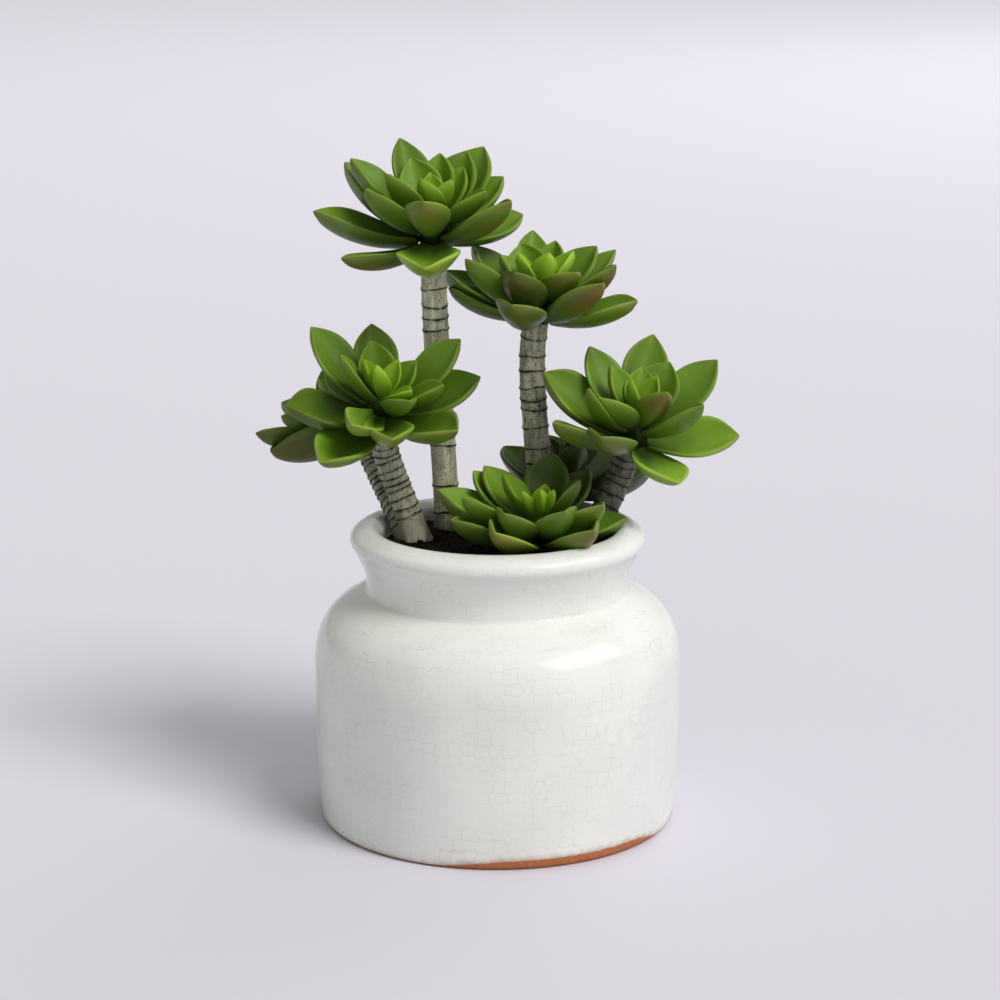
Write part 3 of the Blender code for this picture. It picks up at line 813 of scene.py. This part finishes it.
def pot_outline():
    """The pot's skin from the middle of its foot up, over the lip and down behind the soil."""
    foot = [(FOOT_RADIUS - FOOT_ROUND, 0.0)]
    foot += bezier(
        (FOOT_RADIUS - FOOT_ROUND, 0.0),
        (FOOT_RADIUS - FOOT_ROUND * 0.4, 0.0),
        (FOOT_RADIUS + FOOT_ROUND * 0.1, FOOT_ROUND * 0.4),
        (FOOT_RADIUS + FOOT_ROUND * 0.3, FOOT_ROUND),
        5,
    )[1:-1]
    belly = bezier(
        (FOOT_RADIUS + FOOT_ROUND * 0.3, FOOT_ROUND),
        (POT_RADIUS - 0.4 * MM, 18.0 * MM),
        (POT_RADIUS, 40.0 * MM),
        (POT_RADIUS, BELLY_Z),
        16,
    )
    shoulder = bezier((POT_RADIUS, BELLY_Z), (POT_RADIUS, 78.0 * MM), (62.0 * MM, 85.5 * MM), CREASE, 26)
    neck = bezier(CREASE, (49.4 * MM, 93.5 * MM), (50.8 * MM, 99.0 * MM), LIP_UNDER, 12)
    inside = [(NECK_INSIDE, LIP_CENTRE[1] - LIP_HALF_HEIGHT), (NECK_INSIDE, INSIDE_END_Z), (0.0, INSIDE_END_Z)]
    return [(0.0, 0.0)] + foot + belly + shoulder[1:] + neck[1:-1] + lip_outline(-40, 200, 30) + inside


def turned(outline, steps):
    """A solid of revolution from an outline that starts and ends on the axis."""
    bm = bmesh.new()
    verts = [bm.verts.new((radius, 0.0, height)) for radius, height in outline]
    edges = [bm.edges.new(pair) for pair in zip(verts, verts[1:])]
    bmesh.ops.spin(
        bm, geom=verts + edges, axis=(0, 0, 1), cent=(0, 0, 0), angle=math.tau, steps=steps, use_merge=True
    )
    bmesh.ops.remove_doubles(bm, verts=bm.verts, dist=0.005 * MM)
    bmesh.ops.recalc_face_normals(bm, faces=bm.faces)
    return bm


def joined(shapes):
    """All the shapes as one."""
    whole = bmesh.new()
    for shape in shapes:
        part = bpy.data.meshes.new("part")
        shape.to_mesh(part)
        shape.free()
        whole.from_mesh(part)
        bpy.data.meshes.remove(part)
    return whole


def soil_surface():
    """The lumpy top of the soil, a disc with its edge turned down."""
    bm = bmesh.new()
    bmesh.ops.create_grid(bm, x_segments=SOIL_GRID, y_segments=SOIL_GRID, size=SOIL_RADIUS + 1.0 * MM)
    outside = [vert for vert in bm.verts if vert.co.length > SOIL_RADIUS]
    bmesh.ops.delete(bm, geom=outside, context="VERTS")
    for vert in bm.verts:
        vert.co.z = SOIL_Z + SOIL_RISE + SOIL_LUMPS * noise.fractal(vert.co * 140.0, 1.0, 2.2, 5)
    border = [edge for edge in bm.edges if edge.is_boundary]
    skirt = bmesh.ops.extrude_edge_only(bm, edges=border)["geom"]
    lowered = [part for part in skirt if isinstance(part, bmesh.types.BMVert)]
    bmesh.ops.translate(bm, verts=lowered, vec=(0.0, 0.0, -SOIL_SKIRT))
    bmesh.ops.recalc_face_normals(bm, faces=bm.faces)
    return bm


def crumb_shape(draw):
    """One crumb on the soil: an icosphere pushed out of shape."""
    radius = SOIL_RADIUS * 0.95 * math.sqrt(draw.random())
    angle = draw.uniform(0, math.tau)
    size = draw.choice(CRUMB_SIZES) * MM
    place = Vector((radius * math.cos(angle), radius * math.sin(angle), SOIL_Z + CRUMB_RISE + size * 0.3))
    bm = bmesh.new()
    bmesh.ops.create_icosphere(bm, subdivisions=1, radius=size)
    for vert in bm.verts:
        vert.co *= draw.uniform(0.75, 1.2)
    turn = Matrix.Rotation(draw.uniform(0, math.tau), 4, Vector((draw.random(), draw.random(), 1.0)))
    squash = Matrix.Diagonal((1.0, draw.uniform(0.6, 1.1), draw.uniform(0.45, 0.85), 1.0))
    bmesh.ops.transform(bm, matrix=Matrix.Translation(place) @ squash @ turn, verts=bm.verts)
    return bm


def axes(head):
    """The rosette's own axes: across, back and up along its lean."""
    lean, toward = math.radians(head.lean), math.radians(head.toward)
    up = Vector((math.sin(lean) * math.cos(toward), math.sin(lean) * math.sin(toward), math.cos(lean)))
    turn = Vector((0.0, 0.0, 1.0)).rotation_difference(up)
    return turn @ Vector((1.0, 0.0, 0.0)), turn @ Vector((0.0, 1.0, 0.0)), up


def stem_path(stem, head):
    """Points from a little below the top of the soil up into the crown."""
    up = axes(head)[2]
    top = Vector(head.crown) * MM + up * (CROWN_FOOT * MM - GAP)
    neck = top - up * STEM_NECK
    foot = Vector((*stem.root, 0.0)) * MM
    foot.z = min(SOIL_Z, neck.z - STEM_NECK)
    leaving = Vector((*stem.lean, 1.0)).normalized()
    reach = (neck - foot).length
    above = interpolate_bezier(foot, foot + leaving * reach * 0.3, neck - up * reach * 0.25, neck, PATH_STEPS)
    return [foot - leaving * STEM_SINK] + above + [top + up * CROWN_SINK]


def place_on(path, lengths):
    """The points of the path at those lengths, which rise."""
    found = []
    index, done = 0, 0.0
    for length in lengths:
        step = (path[index + 1] - path[index]).length
        while length > done + step and index < len(path) - 2:
            done += step
            index += 1
            step = (path[index + 1] - path[index]).length
        found.append(path[index].lerp(path[index + 1], min(1.0, (length - done) / step)))
    return found


def ring_places(name, stem, path, total):
    """Lengths along the stem of its ring scars: those that are set, and drawn ones below them."""
    draw = random.Random(name)
    fine = [total * step / 400 for step in range(401)]
    heights = [point.z for point in place_on(path, fine)]
    rings = []
    for height in stem.set_rings:
        rings.append(min(zip(heights, fine), key=lambda pair: abs(pair[0] - height * MM))[1])
    top = min(rings, default=total - STEM_NECK) - stem.ring_gap * MM
    while top > STEM_SINK + 1.0 * MM + RINGLESS_FOOT * stem.flare:
        rings.append(top)
        top -= stem.ring_gap * MM * draw.uniform(0.75, 1.25)
    return [(ring, [draw.uniform(0, math.tau) for _ in range(3)], draw.uniform(0.5, 1.2)) for ring in rings]


def ring_wave(ring, angle):
    """How far a ring scar runs off level at that angle round the stem."""
    _, phases, swing = ring
    waves = zip(((1, 0.34), (2, 0.24), (5, 0.09)), phases)
    return swing * MM * sum(height * math.sin(count * angle + phase) for (count, height), phase in waves)


def path_frames(points):
    """Each point with two directions across the path, which turn as little as they can."""
    frames = []
    side = Vector((1.0, 0.0, 0.0))
    for row, point in enumerate(points):
        along = (points[min(row + 3, len(points) - 1)] - points[max(row - 3, 0)]).normalized()
        side = (side - along * side.dot(along)).normalized()
        frames.append((point, side.copy(), along.cross(side)))
    return frames


def sphere_share(vert):
    """How far up a round sphere the vertex lies, from 0 at its lower pole to 1 at its upper."""
    return math.acos(max(-1.0, min(1.0, -vert.co.z))) / math.pi


def grow_stem(bm, layers, name, stem, head):
    """A stem from a sphere drawn out along its path, with a ridge at every ring scar."""
    path = stem_path(stem, head)
    total = sum((end - start).length for start, end in zip(path, path[1:]))
    rows = int(total / STEM_ROW)
    rings = ring_places(name, stem, path, total)
    lengths = [total * row / rows for row in range(rows + 1)]
    frames = path_frames(place_on(path, lengths))
    made = bmesh.ops.create_uvsphere(bm, u_segments=STEM_SIDES, v_segments=rows, radius=1.0)
    for vert in made["verts"]:
        row = round(sphere_share(vert) * rows)
        angle = math.atan2(vert.co.y, vert.co.x)
        point, side, other = frames[row]
        if row in (0, rows):
            vert.co = point
            continue
        offsets = [lengths[row] - ring[0] - ring_wave(ring, angle) for ring in rings]
        nearest = min(offsets, key=abs, default=1.0)
        below = min([offset for offset in offsets if offset > 0], default=stem.ring_gap * MM)
        above_soil = max(0.0, lengths[row] - STEM_SINK)
        flare = stem.flare * MM * math.exp(-above_soil / FLARE_FADE) * (1.0 + 0.35 * math.cos(6 * angle))
        radius = STEM_RADIUS * (1.0 + 0.025 * noise.noise(point * 130.0 + side * 3.0 * math.cos(angle)))
        radius += RING_RISE * math.exp(-((nearest / RING_WIDTH) ** 2))
        radius += RING_STEP * math.exp(-below / (1.6 * MM)) + flare
        vert.co = point + (side * math.cos(angle) + other * math.sin(angle)) * radius
        vert[layers["scar_distance"]] = abs(nearest + 0.1 * MM) / MM
        vert[layers["foot"]] = math.exp(-above_soil / FOOT_FADE)
        vert[layers["strands"]] = max(0.0, stem.flare - 0.5) * math.exp(-((above_soil / STRANDS_FADE) ** 2))
        # Painted shade: the stem's own share, with more of it low down
        vert[layers["painted_shade"]] = stem.painted_shade + LOW_SHADE * math.exp(-above_soil / LOW_FADE)


def half_width(size, along):
    """The leaf's outline: narrow at the root, widest past its middle, round to an acute tip."""
    if along < size.widest:
        swell = math.sin(math.pi / 2 * along / size.widest) ** 1.6
        return size.root + (1.0 - size.root) * swell
    past = min(1.0, (along - size.widest) / (1.0 - size.widest))
    return max(0.0, math.cos(math.pi / 2 * past)) ** (0.58 + 0.27 * past * past)


def leaf_point(size, length, angle, along):
    """A point of the leaf's skin.

    The root is at the origin and the tip out along +Y. Angle goes round the section, over the
    upper face from 0 to half a turn and back below. The upper face is a dish that ends in a
    flat rim."""
    scale = length / size.length
    across = math.cos(angle)
    apart = abs(across)
    width = size.width / 2 * scale * half_width(size, along)
    closing = min(1.0, (1.0 - along) / 0.1) ** 0.5
    rim = RIM_THICKNESS / 2 * (0.55 + 0.45 * scale * size.width / LEAF_SIZES["outer"].width) * closing
    depth = width * 2 * size.cup
    dish = min(1.0, apart / RIM_START)
    over = depth * (0.88 * dish * dish + 0.12 * dish) + rim
    keel = size.keel * scale * (0.45 + 0.55 * half_width(size, along)) * closing
    beneath = depth * apart * apart - keel * (1.0 - apart**1.7) - rim * apart**1.7
    middle, half = (over + beneath) / 2, (over - beneath) / 2
    rise = middle + math.copysign(half * abs(math.sin(angle)) ** 0.5, math.sin(angle))
    bend = math.radians(size.bend)
    radius = length / (2 * math.sin(bend / 2))
    turn = (along - 0.5) * bend
    out = length / 2 + (radius - rise) * math.sin(turn)
    up = radius * math.cos(bend / 2) - (radius - rise) * math.cos(turn)
    return Vector((across * width, out, up))


def leaf_place(head, size, turn, rise, roll):
    """Where a leaf leaves the crown, as a matrix: +Y out along the leaf and +Z to the heart."""
    across, back, up = axes(head)
    turn, rise = math.radians(turn), math.radians(rise)
    outward = across * math.cos(turn) + back * math.sin(turn)
    along = outward * math.cos(rise) + up * math.sin(rise)
    inward = up * math.cos(rise) - outward * math.sin(rise)
    place = Matrix((along.cross(inward), along, inward)).transposed().to_4x4()
    place.translation = Vector(head.crown) * MM + up * size.height
    return place @ Matrix.Rotation(math.radians(roll), 4, "Y")


def leaf_shape(size, length, place, looks):
    """One leaf from a sphere whose poles become its root and its tip."""
    bm = bmesh.new()
    layers = {title: bm.verts.layers.float.new(title) for title in LEAF_LAYERS}
    bmesh.ops.create_uvsphere(bm, u_segments=LEAF_AROUND, v_segments=LEAF_ROWS, radius=1.0)
    for vert in bm.verts:
        row = sphere_share(vert)
        along = LEAF_ROOT + (1.0 - LEAF_ROOT) * (1.0 - (1.0 - row) ** 1.35)
        angle = math.atan2(vert.co.y, vert.co.x)
        angle -= 0.16 * math.sin(2 * angle)
        if row < 0.001:
            angle = math.pi / 2
        vert.co = leaf_point(size, length, angle, along)
        vert[layers["along"]] = along
        vert[layers["across"]] = abs(math.cos(angle))
        vert[layers["under"]] = 1.0 if math.sin(angle) < -0.05 else 0.0
        for name, value in looks.items():
            vert[layers[name]] = value
    bmesh.ops.recalc_face_normals(bm, faces=bm.faces)
    bmesh.ops.transform(bm, matrix=place, verts=bm.verts)
    return bm


def crown_shape(head):
    """The crown that the leaves leave and the bud that ends it, turned on the rosette's axis."""
    outline = [(0.0, CROWN[0][1] * MM)] + [(r * MM, z * MM) for r, z in CROWN] + [(0.0, CROWN[-1][1] * MM)]
    bm = turned(outline, CROWN_SIDES)
    layers = {title: bm.verts.layers.float.new(title) for title in LEAF_LAYERS}
    for vert in bm.verts:
        bud = vert.co.z > BUD_START
        vert[layers["young"]] = 1.0 if bud else 0.0
        vert[layers["along"]] = 0.5 if bud else 0.0
        # Painted shade: the crown below the bud is drawn dark, and the rosette's painted shade dims all of it
        vert[layers["tone_and_shade"]] = (BUD_TINT if bud else CROWN_SHADE) * (1.0 - 0.5 * head.painted_shade)
    turn = Matrix(axes(head)).transposed().to_4x4()
    turn.translation = Vector(head.crown) * MM
    bmesh.ops.transform(bm, matrix=turn, verts=bm.verts)
    return bm


def grow_rosette(name, head, finish):
    """A crown with its leaves, as one piece."""
    shapes = [crown_shape(head)]
    draw = random.Random(name)
    for whorl, rows in head.whorls.items():
        usual = LEAF_SIZES[whorl]
        for leaf in (Leaf(*row) for row in rows):
            # Each leaf's own random tone, times the painted shade of its rosette and of the leaf
            tone_and_shade = draw.uniform(*TINT_SPREAD) * (1.0 - 0.5 * head.painted_shade) * (1.0 - leaf.painted_leaf_shade)
            looks = {"young": usual.young, "blush": leaf.blush, "tone_and_shade": tone_and_shade}
            roll = leaf.roll + draw.uniform(-ROLL_SPREAD, ROLL_SPREAD)
            place = leaf_place(head, usual, leaf.turn, leaf.rise, roll)
            size = usual._replace(width=usual.width * leaf.broad, cup=usual.cup * leaf.deep)
            shapes.append(leaf_shape(size, leaf.length * MM, place, looks))
    add_piece(name + "_leaves", joined(shapes), finish, "leaf", name)


class SUCCULENT_OT_pot(bpy.types.Operator):
    """Add the glazed pot"""

    bl_idname = "succulent.pot"
    bl_label = "Glazed Pot"

    def execute(self, context):
        finish = glaze_material(context.scene.succulent_pot)
        add_piece("glazed_pot", turned(pot_outline(), POT_STEPS), finish, "pot", "pot")
        return {"FINISHED"}


class SUCCULENT_OT_soil(bpy.types.Operator):
    """Add the rough top of the soil and its crumbs"""

    bl_idname = "succulent.soil"
    bl_label = "Soil"

    def execute(self, context):
        finish = soil_material(context.scene.succulent_plant)
        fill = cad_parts["soil"]
        fill.data.materials.clear()
        fill.data.materials.append(finish)
        draw = random.Random("crumbs")
        crumbs = [crumb_shape(draw) for _ in range(CRUMBS)]
        add_piece("soil_top", joined([soil_surface()] + crumbs), finish, "soil")
        return {"FINISHED"}


class SUCCULENT_OT_stems(bpy.types.Operator):
    """Add the ringed stems"""

    bl_idname = "succulent.stems"
    bl_label = "Ringed Stems"

    def execute(self, context):
        finish = bark_material(context.scene.succulent_plant)
        for node, limbs in STEMS.items():
            bm = bmesh.new()
            layers = {title: bm.verts.layers.float.new(title) for title in BARK_LAYERS}
            for head_name, stem in limbs.items():
                grow_stem(bm, layers, head_name, stem, HEADS[head_name])
            add_piece(node + "_bark", bm, finish, "stem", node)
        return {"FINISHED"}


class SUCCULENT_OT_rosettes(bpy.types.Operator):
    """Add the leaf rosettes"""

    bl_idname = "succulent.rosettes"
    bl_label = "Leaf Rosettes"

    def execute(self, context):
        finish = leaf_material(context.scene.succulent_plant)
        for name, head in HEADS.items():
            grow_rosette(name, head, finish)
        return {"FINISHED"}


def add_floor(look):
    """A flat floor that runs far past the picture."""
    bm = bmesh.new()
    bmesh.ops.create_grid(bm, x_segments=1, y_segments=1, size=FLOOR_HALF)
    mesh = bpy.data.meshes.new("floor")
    bm.to_mesh(mesh)
    bm.free()
    mesh.materials.append(floor_material(look))
    floor = bpy.data.objects.new("floor", mesh)
    bpy.context.scene.collection.objects.link(floor)


def add_sun(look):
    """The main light. It gives no highlight: the soft box does."""
    sun = bpy.data.lights.new("key_sun", "SUN")
    sun.energy = look.sun
    sun.angle = math.radians(SUN_ANGLE)
    sun.color = SUN_COLOUR
    key = bpy.data.objects.new("key_sun", sun)
    key.rotation_euler = Vector(SUN_DIRECTION).to_track_quat("-Z", "Y").to_euler()
    key.visible_glossy = False
    bpy.context.scene.collection.objects.link(key)


def add_area_light(name, place, target, size, energy, colour):
    """A rectangular light at place that faces the target, as an object."""
    lamp = bpy.data.lights.new(name, "AREA")
    lamp.shape = "RECTANGLE"
    lamp.size, lamp.size_y = size
    lamp.energy = energy
    lamp.color = colour
    made = bpy.data.objects.new(name, lamp)
    made.location = place
    made.rotation_euler = (Vector(target) - Vector(place)).to_track_quat("-Z", "Y").to_euler()
    bpy.context.scene.collection.objects.link(made)
    return made


def add_world(look):
    """Even light all round, a little brighter from the right, with a pale backdrop."""
    world = bpy.data.worlds.new("soft_room")
    world.use_nodes = True
    backdrop = world.node_tree.nodes["Background"]
    graph = NodeGraph(world.node_tree)
    sideways = graph.add("SeparateXYZ", {"Vector": graph.add("TexCoord").outputs["Generated"]}).outputs[0]
    room = graph.mix(graph.spread(sideways, -1.0, 0.7), rgba(ROOM_LEFT), rgba(ROOM_RIGHT))
    seen = graph.add("LightPath").outputs["Is Camera Ray"]
    graph.fill(backdrop.inputs["Color"], graph.mix(seen, room, rgba(BACKDROP)))
    backdrop.inputs["Strength"].default_value = look.sky
    bpy.context.scene.world = world


def add_camera():
    """The camera, where the photo was taken from."""
    lens = bpy.data.cameras.new("camera")
    lens.sensor_width = 36.0
    lens.lens = CAMERA_LENS
    lens.clip_start, lens.clip_end = 0.01, 60.0
    camera = bpy.data.objects.new("camera", lens)
    camera.location = CAMERA_PLACE
    camera.rotation_euler = (math.radians(90.0 - CAMERA_PITCH), 0.0, 0.0)
    bpy.context.scene.collection.objects.link(camera)
    bpy.context.scene.camera = camera


class SUCCULENT_OT_stage(bpy.types.Operator):
    """Add the floor, the lights and the camera"""

    bl_idname = "succulent.stage"
    bl_label = "Stage"

    def execute(self, context):
        look = context.scene.succulent_stage
        add_floor(look)
        add_sun(look)
        add_area_light("soft_box", *SOFT_BOX).visible_diffuse = False
        add_area_light("back_light", *BACK_LIGHT).visible_glossy = False
        add_world(look)
        context.scene.view_settings.view_transform = "Standard"
        add_camera()
        return {"FINISHED"}


class SUCCULENT_PT_panel(bpy.types.Panel):
    """Buttons and settings of the potted succulent"""

    bl_idname = "SUCCULENT_PT_panel"
    bl_label = "Potted Succulent"
    bl_space_type = "VIEW_3D"
    bl_region_type = "UI"
    bl_category = "Succulent"

    def draw(self, context):
        column = self.layout.column()
        for operator in (SUCCULENT_OT_stage, *PIECES):
            column.operator(operator.bl_idname)
        for settings in (context.scene.succulent_pot, context.scene.succulent_plant, context.scene.succulent_stage):
            for name in settings.__annotations__:
                column.prop(settings, name)


PIECES = (SUCCULENT_OT_pot, SUCCULENT_OT_soil, SUCCULENT_OT_stems, SUCCULENT_OT_rosettes)
CLASSES = (PotSettings, PlantSettings, StageSettings, *PIECES, SUCCULENT_OT_stage, SUCCULENT_PT_panel)


def register():
    for made in CLASSES:
        bpy.utils.register_class(made)
    bpy.types.Scene.succulent_pot = bpy.props.PointerProperty(type=PotSettings)
    bpy.types.Scene.succulent_plant = bpy.props.PointerProperty(type=PlantSettings)
    bpy.types.Scene.succulent_stage = bpy.props.PointerProperty(type=StageSettings)


def unregister():
    del bpy.types.Scene.succulent_stage
    del bpy.types.Scene.succulent_plant
    del bpy.types.Scene.succulent_pot
    for made in reversed(CLASSES):
        bpy.utils.unregister_class(made)


def main():
    register()
    bpy.ops.succulent.stage()
    bpy.ops.succulent.pot()
    bpy.ops.succulent.soil()
    bpy.ops.succulent.stems()
    bpy.ops.succulent.rosettes()


if __name__ == "__main__":
    main()
